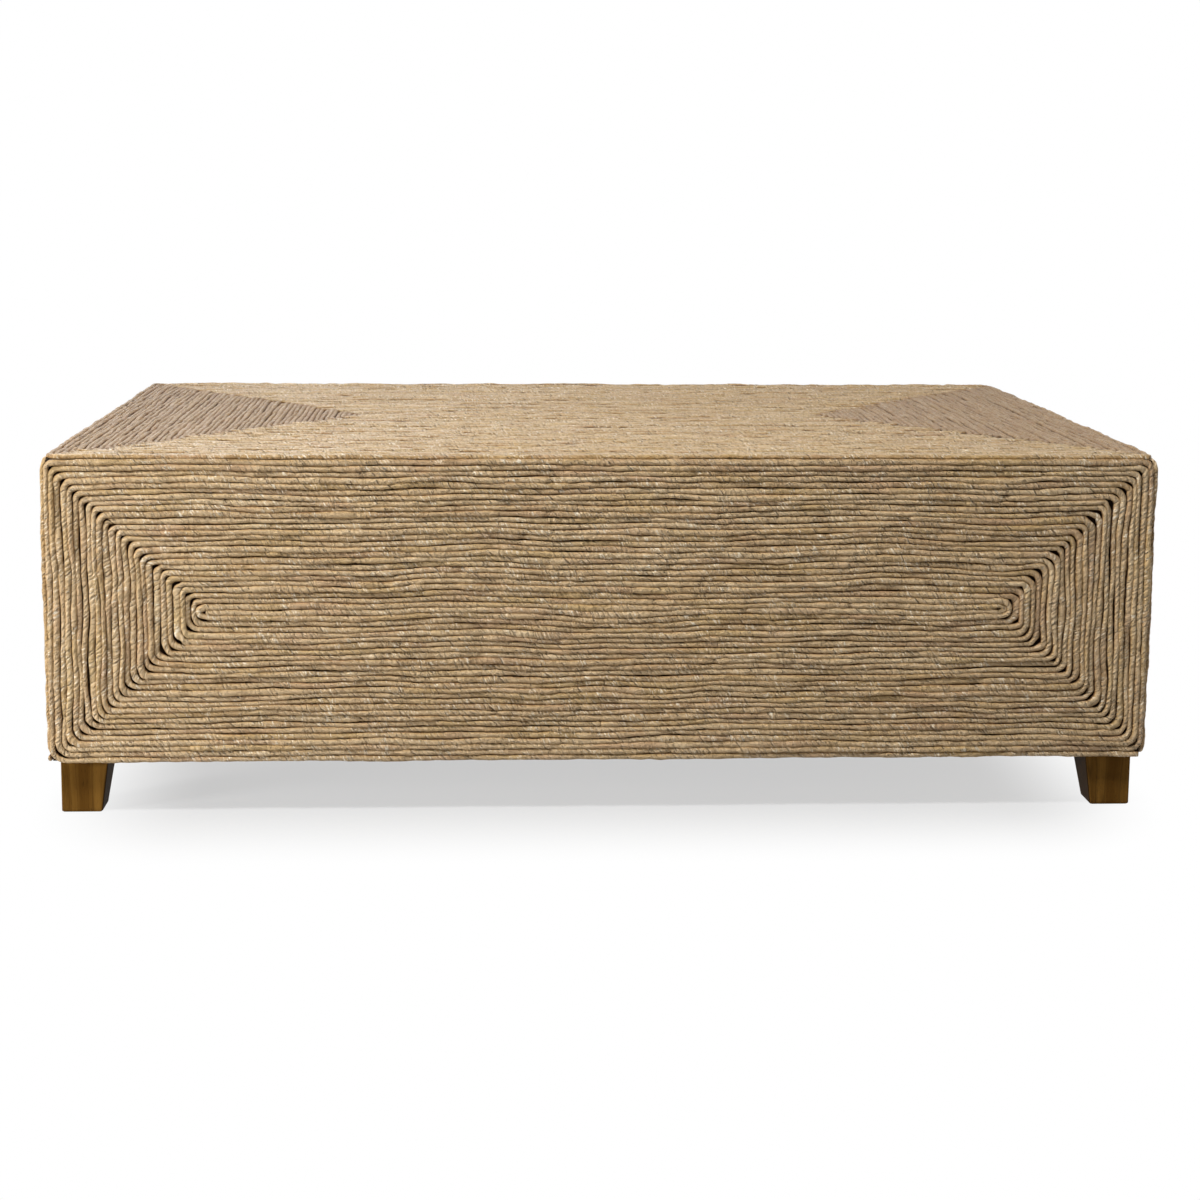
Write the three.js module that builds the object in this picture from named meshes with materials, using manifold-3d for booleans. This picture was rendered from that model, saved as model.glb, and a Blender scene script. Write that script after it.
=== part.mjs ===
// A rope-covered coffee table. A plywood carcass on corner posts and tenoned rails is covered on its
// top and its four sides with thick leaf-fibre rope, laid in rectangular spirals with mitred corners,
// and stands on four tapered wooden feet that are held by hanger bolts.
// Millimetres, +Z up. The origin is the centre of the footprint on the floor, the length runs along X
// and the front faces -Y.

import * as THREE from "three";
import { mergeVertices } from "three/addons/utils/BufferGeometryUtils.js";
import Module from "manifold-3d";

// Overall size, over the rope
const overallLength = 1370;
const overallDepth = 735;
const overallHeight = 450;

// Clearance round every joint and glue line
const fit = 0.3;

// Rope: the rows lie side by side, drawn a little narrower than the rope so that they stay apart
const ropeDiameter = 7.1;
const rowClearance = 0.5;
const ropeSeat = 0.3;
const topRopeLengths = ["outer", "middle", "inner"];
const sideRopeLengths = ["outer", "inner"];
const pieceEndGap = 0.6;
const gapSampleStep = 20;

// Feet: square at the top, with the two outer faces upright and the two inner faces slanted. The sole
// is longer, along the table's length, than it is deep.
const footHeight = 68;
const footTopWidth = 59;
const footSoleLength = 50;
const footSoleDepth = 36;
const footInset = 7;
const footEdgeRadius = 3;
const footSoleChamfer = 1.5;
const footArcSteps = 3;

// Boards and framing timber
const sidePanelThickness = 12;
const topPanelThickness = 15;
const postWidth = 50;
const railThickness = 20;
const railHeight = 60;
const barWidth = 40;
const barThickness = 20;
const studWidth = 40;
const battenSpacing = 420;
const studOffset = 210;

// Tenons: rails into posts, and bars and studs into rails
const tenonThickness = 8;
const railTenonLength = 22;
const railTenonShoulder = 8;
const stubTenonLength = 11;
const stubTenonWidth = 24;

// Hanger bolts and the threaded inserts that take them
const boltDiameter = 8;
const boltInFoot = 36;
const boltPointLength = 7;
const boltPointDiameter = 3;
const boltEndChamfer = 1;
const boltEndRoom = 3;
const insertDiameter = 13;
const insertFlangeDiameter = 18;
const insertFlangeThickness = 1.6;
const insertLength = 20;
const turnedSides = 16;

// How far a cut runs past the face that it starts from
const cutOverrun = 1;

// Places worked out from the sizes above
const ropeRadius = ropeDiameter / 2;
const ropeWidth = ropeDiameter - rowClearance;
const ropeLayer = ropeSeat + ropeDiameter;
const carcassLength = overallLength - 2 * ropeLayer;
const carcassDepth = overallDepth - 2 * ropeLayer;
const carcassBottom = footHeight + fit;
const carcassTop = overallHeight - ropeLayer;
const frameTop = carcassTop - topPanelThickness - fit;
const frameOffset = sidePanelThickness + fit;
const boltAxis = frameOffset + postWidth / 2;
const boltInInsert = insertLength - boltEndRoom;
const upperRailBottom = frameTop - railHeight;
const quarterTurn = Math.PI / 2;

// Two outermost rows meet at an edge of the carcass. Their six-sided sections come closest at two
// corners that lie on the edge's bisector, which sets how far in from the edge a row's centre is.
const edgeInset = ropeWidth / 2 - ropeRadius / 2 - ropeSeat + rowClearance / Math.SQRT2;

const wasm = await Module();
wasm.setup();

const finishes = {
  rope: { color: 0xb39a78, roughness: 0.85, metalness: 0 },
  plywood: { color: 0xc9ab7c, roughness: 0.7, metalness: 0 },
  frameWood: { color: 0xd0b080, roughness: 0.75, metalness: 0 },
  footWood: { color: 0x6d4a24, roughness: 0.5, metalness: 0 },
  steel: { color: 0xa9abad, roughness: 0.35, metalness: 0.9 },
};

const table = new THREE.Group();

// A group turned about the upright axis, standing at a place on the floor plan
function turnedGroup(x, y, angle) {
  const group = new THREE.Group();
  group.position.set(x, y, 0);
  group.rotation.z = angle;
  table.add(group);
  return group;
}

function addPiece(parent, name, geometry, finish) {
  const mesh = new THREE.Mesh(geometry, new THREE.MeshStandardMaterial(finishes[finish]));
  mesh.name = name;
  parent.add(mesh);
  return mesh;
}

// A block between two opposite corners
function block(low, high) {
  const size = high.map((value, axis) => value - low[axis]);
  const geometry = new THREE.BoxGeometry(...size);
  geometry.translate(...low.map((value, axis) => value + size[axis] / 2));
  return geometry;
}

// A solid of revolution about the upright axis through x, y, from radius and height pairs
function turned(profile, x, y) {
  const points = profile.map(([radius, height]) => new THREE.Vector2(radius, height));
  const geometry = new THREE.LatheGeometry(points, turnedSides);
  geometry.rotateX(quarterTurn);
  geometry.translate(x, y, 0);
  return geometry;
}

// A solid for joining and cutting: shared corners are merged and faces without an area are dropped
function toSolid(geometry) {
  const bare = geometry.clone();
  bare.deleteAttribute("normal");
  bare.deleteAttribute("uv");
  const merged = mergeVertices(bare);
  const corners = merged.index.array;
  const faces = [];
  for (let first = 0; first < corners.length; first += 3) {
    const [a, b, c] = corners.slice(first, first + 3);
    if (a !== b && b !== c && c !== a) {
      faces.push(a, b, c);
    }
  }
  return new wasm.Manifold(
    new wasm.Mesh({
      numProp: 3,
      vertProperties: new Float32Array(merged.attributes.position.array),
      triVerts: new Uint32Array(faces),
    }),
  );
}

function toGeometry(solid) {
  const mesh = solid.getMesh();
  const geometry = new THREE.BufferGeometry();
  geometry.setAttribute("position", new THREE.BufferAttribute(mesh.vertProperties, 3));
  geometry.setIndex(new THREE.BufferAttribute(mesh.triVerts, 1));
  geometry.computeVertexNormals();
  return geometry;
}

// The first shape with the others joined to it and the cuts taken out
function worked(body, joined, cuts) {
  let solid = toSolid(body);
  for (const shape of joined) {
    solid = solid.add(toSolid(shape));
  }
  for (const shape of cuts) {
    solid = solid.subtract(toSolid(shape));
  }
  return toGeometry(solid);
}

// A closed body through rings of equally many points, each ring anticlockwise seen from the next one
function skinThrough(rings) {
  const count = rings[0].length;
  const indices = [];
  for (let ring = 0; ring + 1 < rings.length; ring += 1) {
    for (let corner = 0; corner < count; corner += 1) {
      const here = ring * count + corner;
      const next = ring * count + ((corner + 1) % count);
      indices.push(here, next, next + count);
      indices.push(here, next + count, here + count);
    }
  }
  const last = (rings.length - 1) * count;
  for (let corner = 1; corner + 1 < count; corner += 1) {
    indices.push(0, corner + 1, corner);
    indices.push(last, last + corner, last + corner + 1);
  }
  const geometry = new THREE.BufferGeometry().setFromPoints(rings.flat());
  geometry.setIndex(indices);
  geometry.computeVertexNormals();
  return geometry;
}

// Upright extents of a rail's tenon, which clears the insert in the post's foot
function railTenonSpan(railBottom) {
  const low = Math.max(railBottom, carcassBottom + insertLength);
  return [low + railTenonShoulder, railBottom + railHeight - railTenonShoulder];
}

// A corner post in the corner's own frame: mortises for two rails at each end, and the insert's bore
function postGeometry() {
  const low = frameOffset;
  const high = frameOffset + postWidth;
  const sideLow = frameOffset + (railThickness - tenonThickness) / 2 - fit;
  const sideHigh = sideLow + tenonThickness + 2 * fit;
  const deep = high - railTenonLength;
  const cuts = [];
  for (const railBottom of [carcassBottom, upperRailBottom]) {
    const [tenonLow, tenonHigh] = railTenonSpan(railBottom);
    const slotLow = tenonLow - fit;
    const slotHigh = tenonHigh + fit;
    cuts.push(block([deep, sideLow, slotLow], [high + cutOverrun, sideHigh, slotHigh]));
    cuts.push(block([sideLow, deep, slotLow], [sideHigh, high + cutOverrun, slotHigh]));
  }
  const flangeRadius = insertFlangeDiameter / 2 + fit;
  const bodyRadius = insertDiameter / 2 + fit;
  const flangeTop = carcassBottom + insertFlangeThickness + fit;
  const boreTop = carcassBottom + insertLength + fit;
  const boreProfile = [
    [0, carcassBottom - cutOverrun],
    [flangeRadius, carcassBottom - cutOverrun],
    [flangeRadius, flangeTop],
    [bodyRadius, flangeTop],
    [bodyRadius, boreTop],
    [0, boreTop],
  ];
  cuts.push(turned(boreProfile, boltAxis, boltAxis));
  return worked(block([low, low, carcassBottom], [high, high, frameTop]), [], cuts);
}

// One ring of a foot: a rectangle with round corners, between two opposite corners
function footRing(low, high, radius, height) {
  const ring = [];
  for (let corner = 0; corner < 4; corner += 1) {
    const centreX = corner === 0 || corner === 3 ? high.x - radius : low.x + radius;
    const centreY = corner < 2 ? high.y - radius : low.y + radius;
    for (let step = 0; step <= footArcSteps; step += 1) {
      const angle = quarterTurn * (corner + step / footArcSteps);
      const x = centreX + radius * Math.cos(angle);
      const y = centreY + radius * Math.sin(angle);
      ring.push(new THREE.Vector3(x, y, height));
    }
  }
  return ring;
}

// A foot in the corner's own frame, with its sole's size along x and y: a small chamfer round the sole,
// upright outside and slanted inside
function footGeometry(soleX, soleY) {
  const outer = new THREE.Vector2(footInset, footInset);
  const sole = new THREE.Vector2(footInset + soleX, footInset + soleY);
  const top = new THREE.Vector2(footInset + footTopWidth, footInset + footTopWidth);
  const knee = sole.clone().lerp(top, footSoleChamfer / footHeight);
  const soleLow = outer.clone().addScalar(footSoleChamfer);
  const soleHigh = sole.clone().subScalar(footSoleChamfer);
  const rings = [
    footRing(soleLow, soleHigh, footEdgeRadius, 0),
    footRing(outer, knee, footEdgeRadius, footSoleChamfer),
    footRing(outer, top, footEdgeRadius, footHeight),
  ];
  const boreBottom = footHeight - boltInFoot - fit;
  const boreRadius = boltDiameter / 2 + fit;
  const boreProfile = [
    [0, boreBottom],
    [boreRadius, boreBottom],
    [boreRadius, footHeight + cutOverrun],
    [0, footHeight + cutOverrun],
  ];
  return worked(skinThrough(rings), [], [turned(boreProfile, boltAxis, boltAxis)]);
}

// A hanger bolt: the pointed wood thread stands in the foot, the machine end in the insert
function boltGeometry() {
  const radius = boltDiameter / 2;
  const low = footHeight - boltInFoot;
  const high = carcassBottom + boltInInsert;
  const profile = [
    [0, low],
    [boltPointDiameter / 2, low],
    [radius, low + boltPointLength],
    [radius, high - boltEndChamfer],
    [radius - boltEndChamfer, high],
    [0, high],
  ];
  return turned(profile, boltAxis, boltAxis);
}

// A flanged bush set flush in the underside of the post
function insertGeometry() {
  const bore = boltDiameter / 2 + fit;
  const flangeTop = carcassBottom + insertFlangeThickness;
  const top = carcassBottom + insertLength;
  const profile = [
    [bore, carcassBottom],
    [insertFlangeDiameter / 2, carcassBottom],
    [insertFlangeDiameter / 2, flangeTop],
    [insertDiameter / 2, flangeTop],
    [insertDiameter / 2, top],
    [bore, top],
    [bore, carcassBottom],
  ];
  return turned(profile, boltAxis, boltAxis);
}

// A post with its foot, bolt and insert, in a frame whose x and y run inwards from the carcass corner.
// At every second corner x runs along the table's depth, so the sole's two sizes change places.
function addCorner(name, x, y, quarterTurns) {
  const corner = turnedGroup(x, y, quarterTurns * quarterTurn);
  const sole = [footSoleLength, footSoleDepth];
  if (quarterTurns % 2 !== 0) {
    sole.reverse();
  }
  addPiece(corner, `post_${name}`, postGeometry(), "frameWood");
  addPiece(corner, `foot_${name}`, footGeometry(...sole), "footWood");
  addPiece(corner, `foot_bolt_${name}`, boltGeometry(), "steel");
  addPiece(corner, `foot_insert_${name}`, insertGeometry(), "steel");
}

// A rail between two posts in the side's own frame, with a tenon at each end and the cuts it is given
function railGeometry(sideLength, railBottom, cuts) {
  const shoulder = sideLength / 2 - frameOffset - postWidth - fit;
  const reach = shoulder + railTenonLength;
  const inner = frameOffset + railThickness;
  const cheek = frameOffset + (railThickness - tenonThickness) / 2;
  const [tenonLow, tenonHigh] = railTenonSpan(railBottom);
  const body = block([-shoulder, frameOffset, railBottom], [shoulder, inner, railBottom + railHeight]);
  const tenons = block([-reach, cheek, tenonLow], [reach, cheek + tenonThickness, tenonHigh]);
  return worked(body, [tenons], cuts);
}

// Mortise in the inner face of a long rail for a cross bar whose underside is at barBottom
function barMortise(x, barBottom) {
  const inner = frameOffset + railThickness;
  const reach = stubTenonWidth / 2 + fit;
  const low = barBottom + (barThickness - tenonThickness) / 2 - fit;
  const high = low + tenonThickness + 2 * fit;
  return block([x - reach, inner - stubTenonLength, low], [x + reach, inner + cutOverrun, high]);
}

// Mortise in the edge of a long rail for a stud: from the edge's height, upwards or downwards
function studMortise(x, edge, direction) {
  const reach = stubTenonWidth / 2 + fit;
  const cheek = frameOffset + (railThickness - tenonThickness) / 2 - fit;
  const outside = edge - direction * cutOverrun;
  const inside = edge + direction * stubTenonLength;
  const low = Math.min(outside, inside);
  const high = Math.max(outside, inside);
  return block([x - reach, cheek, low], [x + reach, cheek + tenonThickness + 2 * fit, high]);
}

// A stud between the long rails of one side, with a stub tenon up and one down
function studGeometry(x) {
  const low = carcassBottom + railHeight + fit;
  const high = upperRailBottom - fit;
  const inner = frameOffset + railThickness;
  const cheek = frameOffset + (railThickness - tenonThickness) / 2;
  const body = block([x - studWidth / 2, frameOffset, low], [x + studWidth / 2, inner, high]);
  const tenons = block(
    [x - stubTenonWidth / 2, cheek, low - stubTenonLength],
    [x + stubTenonWidth / 2, cheek + tenonThickness, high + stubTenonLength],
  );
  return worked(body, [tenons], []);
}

// A bar from the front rail to the back rail, with a stub tenon at each end
function crossBarGeometry(x, bottom) {
  const shoulder = carcassDepth / 2 - frameOffset - railThickness - fit;
  const reach = shoulder + stubTenonLength;
  const cheek = bottom + (barThickness - tenonThickness) / 2;
  const body = block(
    [x - barWidth / 2, -shoulder, bottom],
    [x + barWidth / 2, shoulder, bottom + barThickness],
  );
  const tenons = block(
    [x - stubTenonWidth / 2, -reach, cheek],
    [x + stubTenonWidth / 2, reach, cheek + tenonThickness],
  );
  return worked(body, [tenons], []);
}

// The centre line of a rectangular spiral about the origin, from its outer corner inwards. Each turn
// runs left, up, right and down, and its last side stops one row short, which steps the next turn in.
// The square end that it starts with stays back from the winding round the edge.
// The rows fill the shorter side exactly, so the row pitch is that side over a whole number of rows.
function windingPath(length, width) {
  const rows = Math.floor(width / ropeDiameter);
  const pitch = width / rows;
  const left = -length / 2;
  const top = width / 2;
  const endReach = pitch - ropeWidth / 2 - rowClearance;
  const startReach = ropeRadius / 2;
  const path = [new THREE.Vector2(-left + startReach, -top)];
  for (let row = 0; row <= rows; row += 1) {
    const turn = Math.floor(row / 2);
    const inset = turn * pitch;
    if (row % 2 === 0) {
      path.push(new THREE.Vector2(left + inset, -top + inset));
      path.push(new THREE.Vector2(left + inset, top - inset));
    } else {
      path.push(new THREE.Vector2(-left - inset, top - inset));
      path.push(new THREE.Vector2(-left - inset, -top + inset + pitch));
    }
  }
  // The last row has no side to turn into: its end reaches towards the turn that is already there
  path.pop();
  const end = path[path.length - 1];
  end.x += rows % 2 === 0 ? -endReach : endReach;
  return { path, pitch, turns: (rows + 1) / 2 };
}

// The path cut into lengths of equally many sides, each cut in the middle of a long side
function windingLengths(path, pieces) {
  const sides = path.length - 1;
  const lengths = [];
  let start = [path[0]];
  let from = 1;
  for (let piece = 1; piece < pieces; piece += 1) {
    const cutSide = 2 * Math.round((sides * piece) / pieces / 2);
    const along = new THREE.Vector2().subVectors(path[cutSide + 1], path[cutSide]).normalize();
    const middle = new THREE.Vector2().addVectors(path[cutSide + 1], path[cutSide]).multiplyScalar(0.5);
    const before = middle.clone().addScaledVector(along, -pieceEndGap / 2);
    const after = middle.clone().addScaledVector(along, pieceEndGap / 2);
    lengths.push([...start, ...path.slice(from, cutSide + 1), before]);
    start = [after];
    from = cutSide + 1;
  }
  lengths.push([...start, ...path.slice(from)]);
  return lengths;
}

// A rope along a centre line in the plane z = 0 of its face, lying on the side where z is positive.
// Its section has six sides, upright flats towards the neighbouring rows, and mitred corners.
function ropeGeometry(line) {
  const half = ropeWidth / 2;
  const section = [
    [half, -ropeRadius / 2],
    [half, ropeRadius / 2],
    [0, ropeRadius],
    [-half, ropeRadius / 2],
    [-half, -ropeRadius / 2],
    [0, -ropeRadius],
  ];
  const sideways = (from, to) => {
    const along = new THREE.Vector2().subVectors(to, from).normalize();
    return new THREE.Vector2(-along.y, along.x);
  };
  const rings = line.map((point, index) => {
    const before = sideways(line[Math.max(index - 1, 0)], line[Math.max(index, 1)]);
    const lastIndex = line.length - 1;
    const after = sideways(line[Math.min(index, lastIndex - 1)], line[Math.min(index + 1, lastIndex)]);
    const mitre = before.clone().add(after).divideScalar(1 + before.dot(after));
    return section.map(
      ([across, up]) =>
        new THREE.Vector3(point.x + mitre.x * across, point.y + mitre.y * across, ropeRadius + up),
    );
  });
  return skinThrough(rings);
}

// The flat outline of each side of a length of rope: it runs half a width past each mitred corner
function sideOutlines(line) {
  const half = ropeWidth / 2;
  return line.slice(1).map((to, index) => {
    const from = line[index];
    const along = new THREE.Vector2().subVectors(to, from).normalize();
    const start = from.clone().addScaledVector(along, index === 0 ? 0 : -half);
    const end = to.clone().addScaledVector(along, index === line.length - 2 ? 0 : half);
    const across = new THREE.Vector2(-along.y, along.x);
    return { start, along, across, length: start.distanceTo(end) };
  });
}

function distanceToOutline(point, outline) {
  const offset = new THREE.Vector2().subVectors(point, outline.start);
  const forward = offset.dot(outline.along);
  const beyond = Math.max(-forward, forward - outline.length, 0);
  const beside = Math.max(Math.abs(offset.dot(outline.across)) - ropeWidth / 2, 0);
  return Math.hypot(beyond, beside);
}

// The least gap of a length of rope to itself: points along both flanks of every side against the
// outlines of all the sides that do not join on to it
function leastGap(line) {
  const outlines = sideOutlines(line);
  let least = Infinity;
  outlines.forEach((outline, side) => {
    const samples = Math.ceil(outline.length / gapSampleStep);
    for (let sample = 0; sample <= samples; sample += 1) {
      for (const flank of [-ropeWidth / 2, ropeWidth / 2]) {
        const forward = (outline.length * sample) / samples;
        const point = outline.start.clone().addScaledVector(outline.along, forward);
        point.addScaledVector(outline.across, flank);
        outlines.forEach((other, index) => {
          if (Math.abs(index - side) > 1) {
            least = Math.min(least, distanceToOutline(point, other));
          }
        });
      }
    }
  });
  return least;
}

// The winding of one face, centred on the face's plane, as lengths of rope from the edge inwards
function addWinding(parent, name, faceLength, faceWidth, labels, place) {
  const length = faceLength - 2 * edgeInset;
  const width = faceWidth - 2 * edgeInset;
  const { path, pitch, turns } = windingPath(length, width);
  windingLengths(path, labels.length).forEach((line, index) => {
    const rope = addPiece(parent, `rope_${name}_${labels[index]}`, ropeGeometry(line), "rope");
    place(rope);
    const gap = leastGap(line).toFixed(2);
    const turnCount = (turns / labels.length).toFixed(1);
    console.log(`${rope.name}: about ${turnCount} turns, row pitch ${pitch.toFixed(2)} mm`);
    console.log(`${rope.name}: least gap to itself ${gap} mm`);
  });
}

// One side of the table, in a frame whose x runs along the side and whose y runs inwards from it
function addSide(name, x, y, angle, sideLength, isLong) {
  const side = turnedGroup(x, y, angle);
  const panelReach = isLong ? sideLength / 2 : sideLength / 2 - frameOffset;
  const panel = block([-panelReach, 0, carcassBottom], [panelReach, sidePanelThickness, frameTop]);
  addPiece(side, `${name}_panel`, panel, "plywood");

  const upperCuts = [];
  const lowerCuts = [];
  if (isLong) {
    for (const studX of [-studOffset, studOffset]) {
      upperCuts.push(studMortise(studX, upperRailBottom, 1));
      lowerCuts.push(studMortise(studX, carcassBottom + railHeight, -1));
    }
    for (const barX of [-battenSpacing, 0, battenSpacing]) {
      upperCuts.push(barMortise(barX, frameTop - barThickness));
    }
    lowerCuts.push(barMortise(0, carcassBottom));
    addPiece(side, `stud_${name}_a`, studGeometry(-studOffset), "frameWood");
    addPiece(side, `stud_${name}_b`, studGeometry(studOffset), "frameWood");
  }
  addPiece(side, `rail_top_${name}`, railGeometry(sideLength, upperRailBottom, upperCuts), "frameWood");
  addPiece(side, `rail_bottom_${name}`, railGeometry(sideLength, carcassBottom, lowerCuts), "frameWood");

  const faceHeight = carcassTop - carcassBottom;
  addWinding(side, name, sideLength, faceHeight, sideRopeLengths, (rope) => {
    rope.rotation.x = quarterTurn;
    rope.position.set(0, -ropeSeat, carcassBottom + faceHeight / 2);
  });
}

function addTop() {
  const topLow = frameTop + fit;
  const panel = block(
    [-carcassLength / 2, -carcassDepth / 2, topLow],
    [carcassLength / 2, carcassDepth / 2, carcassTop],
  );
  addPiece(table, "top_panel", panel, "plywood");
  const battenBottom = frameTop - barThickness;
  addPiece(table, "batten_left", crossBarGeometry(-battenSpacing, battenBottom), "frameWood");
  addPiece(table, "batten_middle", crossBarGeometry(0, battenBottom), "frameWood");
  addPiece(table, "batten_right", crossBarGeometry(battenSpacing, battenBottom), "frameWood");
  addPiece(table, "stretcher_bottom", crossBarGeometry(0, carcassBottom), "frameWood");
  addWinding(table, "top", carcassLength, carcassDepth, topRopeLengths, (rope) => {
    rope.position.set(0, 0, carcassTop + ropeSeat);
  });
}

const halfLength = carcassLength / 2;
const halfDepth = carcassDepth / 2;

addTop();
addSide("front", 0, -halfDepth, 0, carcassLength, true);
addSide("right", halfLength, 0, quarterTurn, carcassDepth, false);
addSide("back", 0, halfDepth, 2 * quarterTurn, carcassLength, true);
addSide("left", -halfLength, 0, -quarterTurn, carcassDepth, false);
addCorner("front_left", -halfLength, -halfDepth, 0);
addCorner("front_right", halfLength, -halfDepth, 1);
addCorner("back_right", halfLength, halfDepth, 2);
addCorner("back_left", -halfLength, halfDepth, 3);

export default table;
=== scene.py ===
"""Looks of a low block table covered in leaf-fibre rope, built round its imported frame."""

import math

import bpy
import numpy as np
from mathutils import Matrix, Vector


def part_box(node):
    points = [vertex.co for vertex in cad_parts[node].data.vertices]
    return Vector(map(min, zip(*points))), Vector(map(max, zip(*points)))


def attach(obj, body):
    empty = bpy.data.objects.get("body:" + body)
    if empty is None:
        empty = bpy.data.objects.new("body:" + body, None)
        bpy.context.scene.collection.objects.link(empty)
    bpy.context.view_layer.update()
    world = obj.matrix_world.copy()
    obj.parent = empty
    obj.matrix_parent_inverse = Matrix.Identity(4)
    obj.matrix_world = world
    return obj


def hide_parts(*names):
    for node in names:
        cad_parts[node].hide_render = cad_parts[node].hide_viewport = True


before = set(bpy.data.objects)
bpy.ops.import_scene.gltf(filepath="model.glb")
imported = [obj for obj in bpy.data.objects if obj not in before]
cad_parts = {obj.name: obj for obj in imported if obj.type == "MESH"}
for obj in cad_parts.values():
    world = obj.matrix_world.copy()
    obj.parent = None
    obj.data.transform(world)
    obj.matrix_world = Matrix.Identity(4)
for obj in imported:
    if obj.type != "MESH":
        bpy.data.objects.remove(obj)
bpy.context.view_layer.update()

# The rope, in metres, and the slack for rounding when its rows are counted
STRAND_WIDTH = 0.0066
STRAND_ROUND = math.pi * STRAND_WIDTH
WIDEST_ROW = 0.0071
ROW_COUNT_SLACK = 1e-6
LENGTH_GAP = 0.0003
LONGEST_PIECE = 38.0

# The rounded tip at an end of the rope: its length, its extra rings and the least share of the full width
TIP_LENGTH = 0.0016
TIP_RINGS = 2
TIP_BLUNTNESS = 0.2

# Distance along the rope in which a leaf's edge, and a thin fibre, goes once round it
LEAF_LAY = 0.018
FIBRE_LAY = 0.0115

# Rings of points along the rope: their distance, and how much closer they are in a bend
RING_STEP = 0.0037
BEND_CLOSENESS = 1.9
BEND_POINTS = 9

# Points round the rope: one under it and the rest over the part that shows
LOWEST_SIDE_ANGLE = math.radians(-22)
SIDE_POINTS = 8

# What is added to a face's seed for its bends, its splices, the lengths between them and its moved rows
BEND_SEED = 1
SPLICE_SEED = 6
LENGTH_SEED = 7
MOVE_SEED = 20

# How far hand laying moves the rows, in metres, and over what distances it changes along and across them
SWEEP = {"size": 0.003, "along": 0.17, "across": 0.09}
PINCH = {"size": 0.0018, "along": 0.07, "across": 0.018}
JOSTLE = {"size": 0.001, "along": 0.045, "across": 0.0078}
MOVE_NOISE_OFFSET = 40

# How much more or less rows are moved, by each kind above, where they run across the top and up the sides
TOP_CROSS_MOVES = (0.4, 0.5, 0.9)
SIDE_CROSS_MOVES = (1.0, 1.0, 2.1)
EDGE_CALM = 0.03
LEAST_MOVE = 0.4

# The slot that stays open inside the innermost turn
SLOT_LENGTH = 0.019
SLOT_OPENING = 0.002
SLOT_REACH = 0.014

# How far a bend reaches from its corner, and how much each one differs
LOWER_BEND = 0.0138
UPPER_LEFT_BEND = 0.0095
UPPER_RIGHT_BEND = 0.0125
BEND_SPREAD = 0.3
BEND_FLATTENING = 0.13

# The sides of the outermost turn, and the share of a rope's half width over which its free side, which has no
# painted shade between rows, fades in
FIRST_TURN_SIDES = 4
FREE_SIDE_FADE = 0.5

# How far a row is turned from the top's length, as a sine, when it starts and ends to count as a crossing
# one, which takes painted shade
CROSSING = (0.25, 0.75)

# One length of leaf rope, from splice to splice
SHORTEST_LENGTH = 0.25
LONGEST_LENGTH = 1.7
THINNEST_LENGTH = 0.86
THICKEST_LENGTH = 1.1

# How the rope swells along its length, and its waist at a splice: shares of its thickness, and metres
SLOW_SWELL = {"seed": 8, "size": 0.12, "long": 0.055}
QUICK_SWELL = {"seed": 9, "size": 0.12, "long": 0.015}
SPLICE_WAIST = {"size": 0.2, "long": 0.0045}

# How the rope fills its row: how much its thickness shows in its width, and how a wide row makes it lower
THICKNESS_SHOWN = 0.62
ROW_OVERLAP = 1.06
WIDTH_LIMITS = (0.82, 1.35)
HEIGHT_SQUEEZE = -0.4
HEIGHT_LIMITS = (0.74, 1.16)
LEAST_LIFT = 0.0001

# Lumps of the rope's section: the strand's lobes where it is twisted, the leaves, and fine unevenness
TWISTS = {"seed": 10, "size": 0.07, "long": 0.12, "more": 0.3, "lobes": 2}
LEAF_LUMPS = {"seed": 11, "size": 0.1, "each_lay": 1.9, "layer": 3.5}
FINE_LUMPS = {"seed": 12, "size": 0.07, "long": 0.009, "each_radian": 1.2, "layer": 9}

# The strips of the bake's UV map: their shape, the edge left round them, and the size and places of the ends
STRIP_SHAPE = 0.16
STRIP_EDGE = 0.03
END_DISC_RADIUS = 0.4
END_DISC_PLACES = (0.25, 0.75)

# The feet, in metres, and how finely their corners and their height are divided
FOOT_TOP = (0.059, 0.059)
FOOT_SOLE = (0.05, 0.036)
FOOT_EDGE_RADIUS = 0.0025
FOOT_SOLE_CHAMFER = 0.0015
FOOT_CORNER_STEPS = 6
FOOT_RINGS = 24

# How many random numbers the noise has in each direction before it repeats
NOISE_CELLS = (509, 127)

# Patterns on the rope: the length and width of a blotch in metres, and a layer that keeps each one apart
SWAY = {"long": 0.011, "wide": 0.0095, "layer": 1.5, "detail": 2.0}
FIBRES = {"long": 0.0026, "wide": 0.01, "layer": 2.5, "detail": 3.0}
MOTTLE = {"long": 0.0044, "wide": 0.0028, "layer": 7.5, "detail": 4.0}
LUMPS = {"long": 0.011, "wide": 0.006, "layer": 8.5, "detail": 1.5}
FLECKS = {"long": 0.0018, "wide": 0.0055, "layer": 9.5, "detail": 1.0}
BLOTCHES = {"long": 0.06, "wide": 0.014, "layer": 11.5, "detail": 3.0}

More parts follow.
